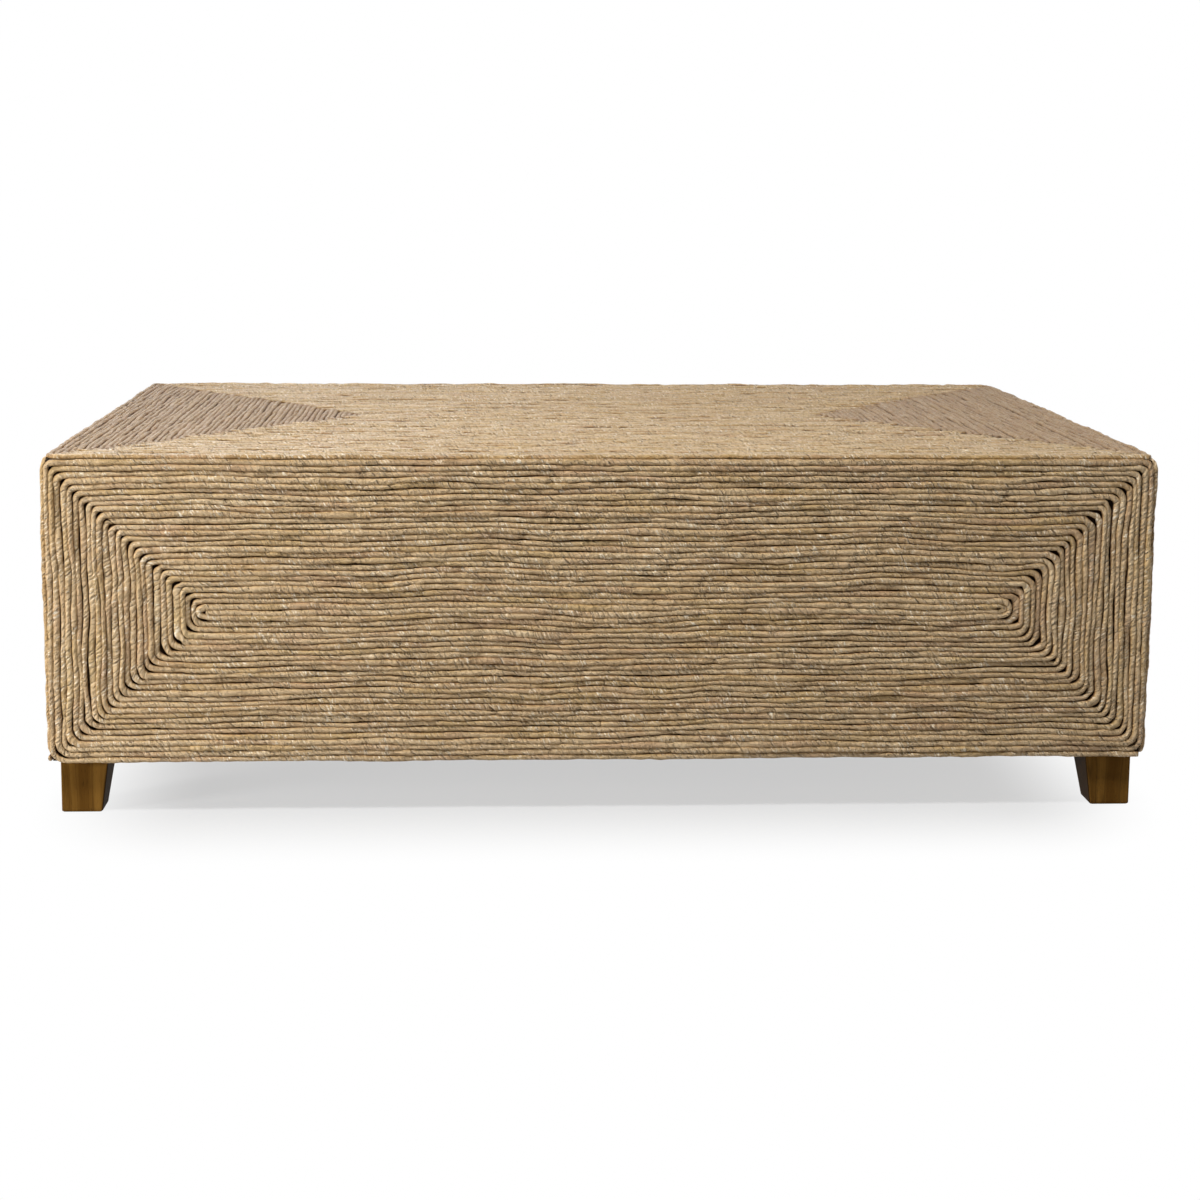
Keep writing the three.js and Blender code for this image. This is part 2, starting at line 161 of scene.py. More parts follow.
# Patterns that are there in some places only: a patch starts and ends between the two values of its edge
RIDGES = {"long": 0.0021, "wide": 0.009, "layer": 3.5, "detail": 1.0, "edge": (0.4, 0.6)}
RIDGE_PATCHES = {"long": 0.05, "wide": 0.2, "layer": 4.5, "detail": 1.0, "edge": (0.56, 0.68)}
FOLD_GAPS = {"long": 0.009, "wide": 0.005, "layer": 5.5, "detail": 1.0, "edge": (0.32, 0.46)}
FOLD_PATCHES = {"long": 0.05, "wide": 0.2, "layer": 6.5, "detail": 1.0, "edge": (0.42, 0.58)}
FLECK_PATCHES = {"long": 0.03, "wide": 0.03, "layer": 10.5, "detail": 1.0, "edge": (0.46, 0.62)}
CREASE_GAPS = {"long": 0.017, "wide": 0.0045, "layer": 12.5, "detail": 1.0, "edge": (0.49, 0.58)}
ROSY_PATCHES = {"long": 0.09, "wide": 0.5, "layer": 13.5, "detail": 1.0, "edge": (0.52, 0.7)}
STRAW_PATCHES = {"long": 0.11, "wide": 0.5, "layer": 14.5, "detail": 1.0, "edge": (0.52, 0.7)}
BLOTCH_ROUGHNESS = 0.6
DARK_SPECKS = (0.29, 0.37)
PALE_SPECKS = (0.57, 0.67)

# Edges of the leaves that cross the rope: creases far apart and folds close together, in metres, whose lines
# are painted dark as shade and whose lips are painted pale as highlights
CREASES = {"spacing": 0.042, "thickness": 0.0014, "lip_highlight": 0.0038}
FOLDS = {"spacing": 0.0076, "thickness": 0.001, "lip_highlight": 0.003}
LIP_SIDE = (0.0, 0.1)
BULGE_REACH = 0.42
LEAF_SWAY = 0.007
FIBRE_SWAY = 0.004

# Where a splice's seam fades, in metres, how far round from its crown the painted highlight on the rope's
# crest and the painted shade on its flanks fade, and the share of that shade that rows across the top lose
SEAM_EDGE = (0.0005, 0.0014)
CREST_HIGHLIGHT_EDGE = (0.05, 0.15)
FLANK_SHADE_EDGE = (0.15, 0.2)
CROSSING_FLANK_SHADE_LOST = 0.35
ROPE_GLOSS = {"Roughness": 0.42, "Specular IOR Level": 0.2}

# Wood grain: length and width of its blotches in metres, and how its bands, pores and veins start and end
GRAIN_WARP = (0.16, 0.11)
GRAIN_STREAKS = (0.07, 0.0019)
GRAIN_PORES = (0.014, 0.0011)
GRAIN_WARP_SIZE = 0.03
GRAIN_TILT = 0.35
BANDS_ALONG = 2.5
BAND_LAYER = 1.5
BAND_EDGE = (0.3, 0.72)
PORE_EDGE = (0.62, 0.75)
VEIN_EDGE = (0.0, 0.025)
STREAK_STRENGTH = 0.7
PORE_STRENGTH = 0.55
VEIN_STRENGTH = 0.4
GRAIN_BUMP = 0.5
WOOD_SPECULAR = 0.05

# Each wood: the width of its growth bands in metres, its roughness, and the depth of its grain in metres
FOOT_WOOD = {"band_width": 0.014, "roughness": 0.65, "relief": 0.0003}
FRAME_WOOD = {"band_width": 0.012, "roughness": 0.62, "relief": 0.0005}
PLYWOOD = {"band_width": 0.05, "roughness": 0.7, "relief": 0.0004}

# By how far a surface looks outwards: painted shade on the inner sides of the feet, and on the panels' outer
# sides for the gaps between the ropes
INNER_SHADE_EDGE = (-0.2, -0.05)
INNER_SIDE_SHADE = 0.85
SHADED_SIDE_EDGE = (0.1, 0.15)

# Zinc plating: clouds to the metre, and the smoothest it gets and how much duller it is between
ZINC_CLOUDS = 160.0
ZINC_ROUGHNESS = (0.28, 0.2)

# The stage, in metres: the floor's half width, the box that keeps its shadow, and where the floor is white
FLOOR_HALF = 7.0
FLOOR_GREY = 0.47
FLOOR_ROUGHNESS = 0.9
SHADOW_HALF = (0.5, 0.32)
WHITE_FROM = 0.22
LEAST_WHITE = 0.57
ROOM_LIGHT = 0.07

# The soft boxes: where each one is, what it faces, its width and depth, all in metres, and its watts
OVERHEAD_BOX = {"place": (-0.5, -1.3, 3.0), "target": (0, -0.1, 0.3), "size": (0.45, 0.35), "power": 80}
SHEEN_BOX = {"place": (-1.3, 2.2, 2.6), "target": (0, 0, 0.4), "size": (2.0, 1.4), "power": 104}
LEFT_BOX = {"place": (-2.1, -1.0, 0.42), "target": (-0.5, -0.36, 0.26), "size": (0.35, 0.3), "power": 29}
RIGHT_BOX = {"place": (2.2, 0.5, 0.42), "target": (0.69, 0, 0.25), "size": (0.6, 0.4), "power": 18}
BACK_BOX = {"place": (0.4, 2.5, 0.42), "target": (0, 0.37, 0.25), "size": (1.2, 0.4), "power": 26}

# The photograph's view: degrees turned to the right, down and rolled, place in metres, lens in millimetres
VIEW_TURNS = (2.412, 6.760, 0.418)
VIEW_PLACE = (-0.1472, -2.5152, 0.7973)
VIEW_SHIFT = (0.0331, -0.1833)
VIEW_LENS = 53.67
VIEW_SENSOR = 36


def ease(t):
    """3t^2 - 2t^3, which starts and ends level."""
    return t * t * (3 - 2 * t)


def noise(seed, x, y=0.0):
    """Value noise from -1 to 1: seeded random numbers on a whole-number grid, with ease() between."""
    table = np.random.default_rng(seed).uniform(-1, 1, NOISE_CELLS)
    x, y = np.broadcast_arrays(np.asarray(x, float), np.asarray(y, float))
    column = np.floor(x).astype(int)
    row = np.floor(y).astype(int)
    across = ease(x - column)
    up = ease(y - row)

    def corner(right, above):
        """The random number on one corner of each point's square."""
        return table[(column + right) % NOISE_CELLS[0], (row + above) % NOISE_CELLS[1]]

    low = corner(0, 0) + (corner(1, 0) - corner(0, 0)) * across
    high = corner(0, 1) + (corner(1, 1) - corner(0, 1)) * across
    return low + (high - low) * up


def unit(vectors):
    """Vectors over their own lengths."""
    return vectors / np.linalg.norm(vectors, axis=-1, keepdims=True)


def left_of(vectors):
    """Flat vectors turned a quarter turn to the left: (x, y) becomes (-y, x)."""
    return np.stack([-vectors[..., 1], vectors[..., 0]], axis=-1)


class Face:
    """One covered face of the table: its middle, its directions, its rope nodes and its row pitch.

    right, up and out are seen from outside. The rope's centre lines lie half a rope out from the face.
    """

    def __init__(self, name, seed, right, up, out, cross_moves, nodes):
        self.name = name
        self.seed = seed
        self.right = np.array(right, float)
        self.up = np.array(up, float)
        self.out = np.array(out, float)
        self.cross_moves = cross_moves
        self.nodes = nodes
        low, high = (np.array(corner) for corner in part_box(nodes[0]))
        size = high - low
        self.middle = (low + high) / 2
        self.thickness = float(size @ np.abs(self.out))
        self.middle = self.middle - self.out * self.thickness / 2
        self.length = float(size @ np.abs(self.right)) - STRAND_WIDTH
        self.width = float(size @ np.abs(self.up)) - STRAND_WIDTH
        self.rows = math.floor(self.width / WIDEST_ROW + ROW_COUNT_SLACK)
        self.pitch = self.width / self.rows

    def place(self, flat, height):
        """Points of the row frame: middle + x right + y up + height out."""
        flat = np.asarray(flat)
        return (
            self.middle
            + flat[..., :1] * self.right
            + flat[..., 1:2] * self.up
            + np.asarray(height)[..., None] * self.out
        )


def spiral_corners(face):
    """Corners of the rope's rectangular spiral from its outer end inwards: left, up, right and down.

    The last side of each turn stops one row short, which steps the next turn in by one pitch.
    """
    left = -face.length / 2
    top = face.width / 2
    corners = [(-left, -top)]
    for row in range(face.rows + 1):
        inset = (row // 2) * face.pitch
        if row % 2 == 0:
            corners += [(left + inset, -top + inset), (left + inset, top - inset)]
        else:
            corners += [(-left - inset, top - inset), (-left - inset, -top + inset + face.pitch)]
    return np.array(corners[:-1])


def bend_reaches(face, corners):
    """How far before and after each inner corner its bend starts and ends: farther at the bottom than at
    the top, each one a little different, and never more than half of the side."""
    inner = corners[1:-1]
    upper = np.where(inner[:, 0] < 0, UPPER_LEFT_BEND, UPPER_RIGHT_BEND)
    usual = np.where(inner[:, 1] < 0, LOWER_BEND, upper)
    random = np.random.default_rng(face.seed + BEND_SEED)
    shares = random.uniform(1 - BEND_SPREAD, 1 + BEND_SPREAD, (len(inner), 2))
    sides = np.linalg.norm(np.diff(corners, axis=0), axis=1)
    limits = np.stack([sides[:-1], sides[1:]], axis=1) / 2
    return np.minimum(usual[:, None] * shares, limits)


def rounded_line(corners, reaches):
    """The corner path with a quarter of an ellipse in each corner, as points.

    Between the unit directions a and b, with reaches p and q, a bend's centre is P - p a + q b, and its
    points are centre - q b cos t + p a sin t for t from 0 to a quarter turn.
    """
    before = (unit(corners[1:-1] - corners[:-2]) * reaches[:, :1])[:, None]
    after = (unit(corners[2:] - corners[1:-1]) * reaches[:, 1:])[:, None]
    t = np.linspace(0, math.pi / 2, BEND_POINTS)[None, :, None]
    centres = corners[1:-1][:, None] + after - before
    bends = centres + before * np.sin(t) - after * np.cos(t)
    return np.concatenate([corners[:1], bends.reshape(-1, 2), corners[-1:]])


def lengths_along(line):
    """The distance from the line's start to each of its points."""
    steps = np.linalg.norm(np.diff(line, axis=0), axis=1)
    return np.concatenate([[0.0], np.cumsum(steps)])


def at_distance(line, along, distances):
    """The line's points at these distances from its start, by straight interpolation."""
    x = np.interp(distances, along, line[:, 0])
    y = np.interp(distances, along, line[:, 1])
    return np.stack([x, y], axis=-1)


def slot_push(corners, flat):
    """The rows beside the slot of the innermost turn pushed apart: size x s(x) x g(y), away from its line.

    s rises and falls as a squared sine over the slot's length, and g fades over SLOT_REACH to both sides.
    """
    turn_x, row_y = corners[-2]
    slot_y = (row_y + corners[-3][1]) / 2
    inwards = np.sign(corners[-1][0] - turn_x)
    share = np.clip((flat[..., 0] - turn_x) * inwards / SLOT_LENGTH, 0, 1)
    above = flat[..., 1] - slot_y
    fade = np.clip(1 - np.abs(above) / SLOT_REACH, 0, 1)
    push = SLOT_OPENING * np.sin(math.pi * share) ** 2 * fade * np.sign(above)
    return np.stack([np.zeros_like(push), push], axis=-1)


def moved(face, flat):
    """How far the rows lie from their straight places: value noises of three sizes that sweep whole bands
    of rows, pinch a few and jostle single ones. They calm down towards the face's edges."""
    x, y = flat[..., 0], flat[..., 1]
    inwards = np.minimum(face.length / 2 - np.abs(x), face.width / 2 - np.abs(y))
    calm = LEAST_MOVE + (1 - LEAST_MOVE) * ease(np.clip(inwards / EDGE_CALM, 0, 1))
    total = np.zeros(np.broadcast(x, y).shape + (2,))
    for order, (kind, cross_move) in enumerate(zip((SWEEP, PINCH, JOSTLE), face.cross_moves)):
        seed = face.seed + MOVE_SEED + 2 * order
        offset = MOVE_NOISE_OFFSET * (order + 1)
        rows_along_x = noise(seed, x / kind["along"] + offset, y / kind["across"] + offset)
        rows_along_y = noise(seed + 1, y / kind["along"] + offset, x / kind["across"] + offset)
        total += kind["size"] * np.stack([cross_move * rows_along_y, rows_along_x], axis=-1)
    return total * calm[..., None]


def splice_places(face, total):
    """Distances along the rope where one length of leaf rope ends and the next begins."""
    random = np.random.default_rng(face.seed + SPLICE_SEED)
    lengths = random.uniform(SHORTEST_LENGTH, LONGEST_LENGTH, int(total / SHORTEST_LENGTH))
    places = np.cumsum(lengths)
    return places[places < total - SHORTEST_LENGTH]


def ring_distances(line, along, start, end, tip_at_start, tip_at_end):
    """Distances of the rings of one piece: equal steps, shorter in the bends, and a few close ones where
    a rounded tip is."""
    steps = np.diff(along)
    in_bend = steps < UPPER_LEFT_BEND
    effort = np.concatenate([[0.0], np.cumsum(steps * np.where(in_bend, BEND_CLOSENESS, 1.0))])
    from_effort, to_effort = np.interp([start, end], along, effort)
    count = max(int(round((to_effort - from_effort) / RING_STEP)), 2)
    even = np.interp(np.linspace(from_effort, to_effort, count + 1), effort, along)
    even[0] = start
    even[-1] = end
    close = TIP_LENGTH * (1 - np.cos(np.linspace(0, math.pi / 2, TIP_RINGS + 2)[1:-1]))
    parts = [even]
    if tip_at_start:
        parts.append(start + close)
    if tip_at_end:
        parts.append(end - close)
    return np.unique(np.concatenate(parts))


def section_angles():
    """Angles of a ring's points from the rope's left flank: one point underneath, then the ones that show."""
    shown = np.linspace(LOWEST_SIDE_ANGLE, math.pi - LOWEST_SIDE_ANGLE, SIDE_POINTS)
    return np.concatenate([[-math.pi / 2], shown])


def distance_to_nearest(places, values):
    """How far each value is from the nearest of these rising places."""
    after = np.clip(np.searchsorted(places, values), 0, len(places) - 1)
    before = np.clip(after - 1, 0, None)
    return np.minimum(np.abs(values - places[after]), np.abs(values - places[before]))


def rounded_tip(from_tip):
    """Width near a tip: sqrt(1 - (1 - s)^2), where s goes from 0 at the tip to 1 at TIP_LENGTH."""
    share = np.clip(from_tip / TIP_LENGTH, 0, 1)
    return np.maximum(np.sqrt(1 - (1 - share) ** 2), TIP_BLUNTNESS)


def rope_rings(face, corners, line, along, distances, splices, tip_at_start, tip_at_end):
    """The rings of one piece of rope, as points, with a dictionary of values for each of them: the ring's
    leaf tone, how far its row runs across the top, which paints shade on it, whether the point is on the
    free side of the outermost turn, where no shade is painted between rows, and its distance from the
    nearest splice, measured on the slant of the leaves.

    A ring's point at angle a lies w/2 cos a to the side and h/2 sin a up from the centre line. w follows
    the space between the rows, and both change along the rope with its thickness, lumps and splices.
    """
    seed = face.seed
    straight = at_distance(line, along, distances)
    laid = straight + moved(face, straight) + slot_push(corners, straight)
    forward = unit(np.gradient(laid, axis=0))
    sideways = left_of(forward)
    probe = face.pitch / 2
    beside = moved(face, straight + sideways * probe) - moved(face, straight - sideways * probe)
    spread = 1 + np.sum(beside * sideways, axis=-1) / (2 * probe)

    piece = np.searchsorted(splices, distances)
    random = np.random.default_rng(seed + LENGTH_SEED)
    piece_size = random.uniform(THINNEST_LENGTH, THICKEST_LENGTH, len(splices) + 1)[piece]
    piece_tone = random.uniform(0, 1, len(splices) + 1)[piece]
    from_splice = distance_to_nearest(splices, distances)
    thickness = piece_size * (
        1
        + SLOW_SWELL["size"] * noise(seed + SLOW_SWELL["seed"], distances / SLOW_SWELL["long"])
        + QUICK_SWELL["size"] * noise(seed + QUICK_SWELL["seed"], distances / QUICK_SWELL["long"])
        - SPLICE_WAIST["size"] * np.exp(-((from_splice / SPLICE_WAIST["long"]) ** 2))
    )
    turning = np.linalg.norm(np.gradient(forward, axis=0), axis=1) / np.gradient(distances)
    flattened = 1 + BEND_FLATTENING * np.clip(turning * UPPER_LEFT_BEND, 0, 1)
    filled = spread * (1 - THICKNESS_SHOWN + THICKNESS_SHOWN * thickness)
    width = face.pitch * flattened * np.clip(filled, *WIDTH_LIMITS) * ROW_OVERLAP
    height = face.thickness * np.clip(thickness * spread**HEIGHT_SQUEEZE, *HEIGHT_LIMITS)

    tip = np.ones_like(distances)
    if tip_at_start:
        tip = tip * rounded_tip(distances - distances[0])
    if tip_at_end:
        tip = tip * rounded_tip(distances[-1] - distances)

    angle = section_angles()[None, :]
    cosine = np.cos(angle)
    sine = np.sin(angle)
    turned = distances[:, None] / LEAF_LAY - angle / (2 * math.pi)
    twists = noise(seed + TWISTS["seed"], distances / TWISTS["long"])[:, None]
    twisted = ease(np.clip(twists + TWISTS["more"], 0, 1))
    lobes = np.cos(2 * math.pi * TWISTS["lobes"] * turned)
    leaves = noise(seed + LEAF_LUMPS["seed"], turned * LEAF_LUMPS["each_lay"], LEAF_LUMPS["layer"])
    fine_x = distances[:, None] / FINE_LUMPS["long"]
    fine_y = angle * FINE_LUMPS["each_radian"] + FINE_LUMPS["layer"]
    lumps = (
        1
        + TWISTS["size"] * twisted * lobes
        + LEAF_LUMPS["size"] * leaves
        + FINE_LUMPS["size"] * noise(seed + FINE_LUMPS["seed"], fine_x, fine_y)
    )
    side = (width * tip / 2)[:, None] * cosine * lumps
    lift = (height / 2)[:, None] + (height * tip / 2)[:, None] * sine * lumps
    flat = laid[:, None] + side[..., None] * sideways[:, None]
    points = face.place(flat, np.maximum(lift, LEAST_LIFT))
    slanted = distances[:, None] - (angle - math.pi / 2) / (2 * math.pi) * LEAF_LAY
    outermost = distances < along[FIRST_TURN_SIDES * BEND_POINTS]
    crossing = (np.abs(forward[:, 1]) - CROSSING[0]) / (CROSSING[1] - CROSSING[0])
    across_top_shade = (face.name == "top") * ease(np.clip(crossing, 0, 1))
    values = {
        "leaf_tone": np.repeat(piece_tone, angle.size),
        "across_top_shade": np.repeat(across_top_shade, angle.size),
        "free_side": (outermost[:, None] * np.clip(cosine / FREE_SIDE_FADE, 0, 1)).ravel(),
        "from_splice": distance_to_nearest(splices, slanted).ravel(),
    }
    return points, values


def add_uv(mesh, name, uv):
    """A UV map from one (u, v) for each face corner."""
    layer = mesh.uv_layers.new(name=name)
    layer.data.foreach_set("uv", np.ascontiguousarray(uv, np.float32).ravel())


def add_value(mesh, name, values):
    """A number on each point of the mesh."""
    attribute = mesh.attributes.new(name, "FLOAT", "POINT")
    attribute.data.foreach_set("value", np.ascontiguousarray(values, np.float32).ravel())


def tube_mesh(name, rings):
    """A closed tube from rings[i, j]: four-sided faces join ring i to i + 1 and point j to j + 1, and a
    flat face with all of a ring's points closes each end. Faces point outwards."""
    count, sides = rings.shape[:2]
    index = np.arange(count * sides).reshape(count, sides)
    beside = np.roll(index, -1, axis=1)
    quads = np.stack([index[:-1], beside[:-1], beside[1:], index[1:]], axis=-1).reshape(-1, 4)
    corners = np.concatenate([quads.ravel(), index[0, ::-1], index[-1]])
    starts = np.concatenate([np.arange(len(quads) + 1) * 4, [quads.size + sides]])
    mesh = bpy.data.meshes.new(name)
    mesh.vertices.add(count * sides)
    mesh.vertices.foreach_set("co", np.ascontiguousarray(rings, np.float32).ravel())
    mesh.loops.add(len(corners))
    mesh.loops.foreach_set("vertex_index", corners.astype(np.int32))
    mesh.polygons.add(len(starts))
    mesh.polygons.foreach_set("loop_start", starts.astype(np.int32))
    mesh.polygons.foreach_set("use_smooth", np.ones(len(starts), bool))
    mesh.update(calc_edges=True)
    return mesh


def tube_uv(rings, distances, around):
    """UV for the rope's pattern: u is metres along the rope and v is the share of the way round it."""
    count, sides = rings.shape[:2]
    low_u = np.broadcast_to(distances[:-1, None], (count - 1, sides))
    high_u = np.broadcast_to(distances[1:, None], (count - 1, sides))
    low_v = np.broadcast_to(around[None, :-1], (count - 1, sides))
    high_v = np.broadcast_to(around[None, 1:], (count - 1, sides))
    u = np.stack([low_u, low_u, high_u, high_u], axis=-1)
    v = np.stack([low_v, high_v, high_v, low_v], axis=-1)
    quads = np.stack([u, v], axis=-1).reshape(-1, 2)
    first = np.stack([np.full(sides, distances[0]), around[:-1][::-1]], axis=-1)
    last = np.stack([np.full(sides, distances[-1]), around[:-1]], axis=-1)
    return np.concatenate([quads, first, last])


def strip_uv(rings, around):
    """UV with the tube's side cut into equal strips laid one over another, and its two ends in a strip of
    their own: ring i of strip k has u = i / rings in a strip and v = (k + share round) / strips."""
    count, sides = rings.shape[:2]
    strips = max(int(math.sqrt((count - 1) * STRIP_SHAPE)), 1)
    per_strip = math.ceil((count - 1) / strips)
    ring = np.arange(count - 1)
    strip = (ring // per_strip)[:, None]
    low_u = np.broadcast_to(((ring % per_strip) / per_strip)[:, None], (count - 1, sides))
    high_u = np.broadcast_to(((ring % per_strip + 1) / per_strip)[:, None], (count - 1, sides))
    filled = 1 - 2 * STRIP_EDGE
    low_v = (strip + STRIP_EDGE + filled * around[None, :-1]) / (strips + 1)
    high_v = (strip + STRIP_EDGE + filled * around[None, 1:]) / (strips + 1)
    u = np.stack([low_u, low_u, high_u, high_u], axis=-1)
    v = np.stack([low_v, high_v, high_v, low_v], axis=-1)
    quads = np.stack([u, v], axis=-1).reshape(-1, 2)
    turn = np.arange(sides) * 2 * math.pi / sides
    disc = np.stack([np.cos(turn), np.sin(turn)], axis=-1) * END_DISC_RADIUS / (strips + 1)
    centre_v = (strips + 0.5) / (strips + 1)
    ends = [disc + [centre_u, centre_v] for centre_u in END_DISC_PLACES]
    return np.concatenate([quads, *ends])


def shown_piece(name, mesh, material, nodes):
    """Puts a finished mesh on the table in place of its CAD nodes."""
    piece = bpy.data.objects.new(name, mesh)
    bpy.context.scene.collection.objects.link(piece)
    mesh.materials.append(material)
    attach(piece, "root")
    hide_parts(*nodes)
    return piece


def cut_distances(face, corners, reaches, along):
    """Distances along the rounded line where the winding is cut into its nodes' lengths: the middle of
    every side that the frame's own lengths are cut in."""
    sides = len(corners) - 1
    side_lengths = np.linalg.norm(np.diff(corners, axis=0), axis=1)
    cuts = []
    for piece in range(1, len(face.nodes)):
        side = 2 * round(sides * piece / len(face.nodes) / 2)
        bend_end = along[side * BEND_POINTS]
        cuts.append(bend_end + side_lengths[side] / 2 - reaches[side - 1, 1])
    return cuts


def add_winding(face, material):
    """The rope of one face: each node's length is one piece, or two where it is very long."""
    corners = spiral_corners(face)
    reaches = bend_reaches(face, corners)
    line = rounded_line(corners, reaches)
    along = lengths_along(line)
    total = along[-1]
    splices = splice_places(face, total)
    cuts = [0.0, *cut_distances(face, corners, reaches, along), total]
    angles = section_angles()
    around = np.append((angles + math.pi / 2) / (2 * math.pi), 1.0)
    for cad_node, start, end in zip(face.nodes, cuts[:-1], cuts[1:]):
        start = start + (LENGTH_GAP / 2 if start > 0 else 0)
        end = end - (LENGTH_GAP / 2 if end < total else 0)
        parts = math.ceil((end - start) / LONGEST_PIECE)
        bounds = np.linspace(start, end, parts + 1)
        for part in range(parts):
            tips = (bounds[part] == 0, bounds[part + 1] == total)
            distances = ring_distances(line, along, bounds[part], bounds[part + 1], *tips)
            rings, values = rope_rings(face, corners, line, along, distances, splices, *tips)
            name = cad_node.replace("rope_", "wound_")
            if parts > 1:
                name = f"{name}_{'ab'[part]}"
            mesh = tube_mesh(name, rings)
            add_uv(mesh, "OFBake", strip_uv(rings, around))
            add_uv(mesh, "rope_lay", tube_uv(rings, distances, around))
            for value_name, value in values.items():
                add_value(mesh, value_name, value)
            shown_piece(name, mesh, material, [cad_node])


def foot_mesh(name, cad_node):
    """A tapered foot: rounded rectangles from the floor up, each with its outer two sides upright.

    At height z its size is sole + (top - sole) z / height, and at the sole it draws in by the chamfer.
    """
    low, high = (np.array(corner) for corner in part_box(cad_node))
    outer = np.where(np.abs(low[:2]) > np.abs(high[:2]), low[:2], high[:2])
    inwards = -np.sign(outer)
    height = high[2] - low[2]
    share = np.linspace(0, 1, FOOT_RINGS)
    z = np.concatenate([[0.0], FOOT_SOLE_CHAMFER + share * (height - FOOT_SOLE_CHAMFER)])
    sole = np.array(FOOT_SOLE)
    size = sole + (np.array(FOOT_TOP) - sole) * z[:, None] / height
    inset = np.where(z < FOOT_SOLE_CHAMFER / 2, FOOT_SOLE_CHAMFER, 0.0)
    turn = np.linspace(0, math.pi / 2, FOOT_CORNER_STEPS + 1)
    arc = np.stack([np.cos(turn), np.sin(turn)], axis=-1)
    signs = np.array([[1, 1], [-1, 1], [-1, -1], [1, -1]])
    rings = []
    for quarter, sign in enumerate(signs):
        turned = arc @ np.linalg.matrix_power(np.array([[0, 1], [-1, 0]]), quarter)
        reach = (size / 2 - inset[:, None] - FOOT_EDGE_RADIUS)[:, None]
        rings.append(sign * reach + turned[None] * FOOT_EDGE_RADIUS)
    flat = np.concatenate(rings, axis=1)
    flat = flat + (outer + inwards * size / 2)[:, None]
    heights = np.broadcast_to(low[2] + z[:, None, None], flat[..., :1].shape)
    return tube_mesh(name, np.concatenate([flat, heights], axis=-1))


def connect(tree, socket, value):
    """Gives a socket a value, or joins another node's output to it."""
    if isinstance(value, bpy.types.NodeSocket):
        tree.links.new(value, socket)
    else:
        socket.default_value = value


def add_node(tree, kind, inputs=None, **settings):
    """Adds a shader node. inputs gives a value or another node's output for each named socket."""
    made = tree.nodes.new(kind)
    for name, value in settings.items():
        setattr(made, name, value)
    for name, value in (inputs or {}).items():
        connect(tree, made.inputs[name], value)
    return made


def maths(tree, operation, *values):
    """A Math node's output."""
    return add_node(tree, "ShaderNodeMath", dict(enumerate(values)), operation=operation).outputs[0]


def times(tree, first, second):
    """The product of two values."""
    return maths(tree, "MULTIPLY", first, second)


def blend_colour(tree, share, first, second):
    """A colour between first and second."""
    made = add_node(tree, "ShaderNodeMix", data_type="RGBA")
    for socket, value in zip((made.inputs[0], made.inputs[6], made.inputs[7]), (share, first, second)):
        connect(tree, socket, value)
    return made.outputs[2]


def threshold(tree, value, low, high):
    """0 below low and 1 above high, with a smooth step between."""
    inputs = {"Value": value, "From Min": low, "From Max": high}
    made = add_node(tree, "ShaderNodeMapRange", inputs, interpolation_type="SMOOTHSTEP")
    return made.outputs["Result"]


def below(tree, value, low, high):
    """1 below low and 0 above high, with a smooth step between."""
    return maths(tree, "SUBTRACT", 1.0, threshold(tree, value, low, high))


def joined(tree, x=0.0, y=0.0, z=0.0):
    """A vector of three values."""
    return add_node(tree, "ShaderNodeCombineXYZ", {"X": x, "Y": y, "Z": z}).outputs[0]


def speckle(tree, vector, scale=1.0, detail=2.0, roughness=0.5):
    """Noise from 0 to 1."""
    inputs = {"Vector": vector, "Scale": scale, "Detail": detail, "Roughness": roughness}
    return add_node(tree, "ShaderNodeTexNoise", inputs).outputs["Fac"]


def rope_speckle(tree, along, around, pattern):
    """Noise from 0 to 1 laid on the rope, with blotches of the pattern's length and width."""
    x = times(tree, along, 1 / pattern["long"])
    y = times(tree, around, STRAND_ROUND / pattern["wide"])
    place = joined(tree, x, y, pattern["layer"])
    return speckle(tree, place, detail=pattern["detail"], roughness=BLOTCH_ROUGHNESS)


def rope_patches(tree, along, around, pattern):
    """1 in the patches of a pattern and 0 between them."""
    return threshold(tree, rope_speckle(tree, along, around, pattern), *pattern["edge"])


def srgb(red, green, blue):
    """A colour given as it looks on a screen, from 0 to 255, as the light that it stands for."""

    def light(value):
        """The screen's standard curve, from a value to its share of full light."""
        share = value / 255
        return share / 12.92 if share <= 0.04045 else ((share + 0.055) / 1.055) ** 2.4

    return (light(red), light(green), light(blue), 1.0)


def new_material(name):
    """An empty material, its tree and its Principled BSDF."""
    material = bpy.data.materials.new(name)
    material.use_nodes = True
    tree = material.node_tree
    return material, tree, tree.nodes["Principled BSDF"]


def slanted(tree, along, around, lay, sway, sway_size):
    """Distance along the rope measured on a slant that goes once round it in one lay, with some sway."""
    straight = maths(tree, "MULTIPLY_ADD", around, -lay, along)
    return maths(tree, "MULTIPLY_ADD", sway, sway_size, straight)


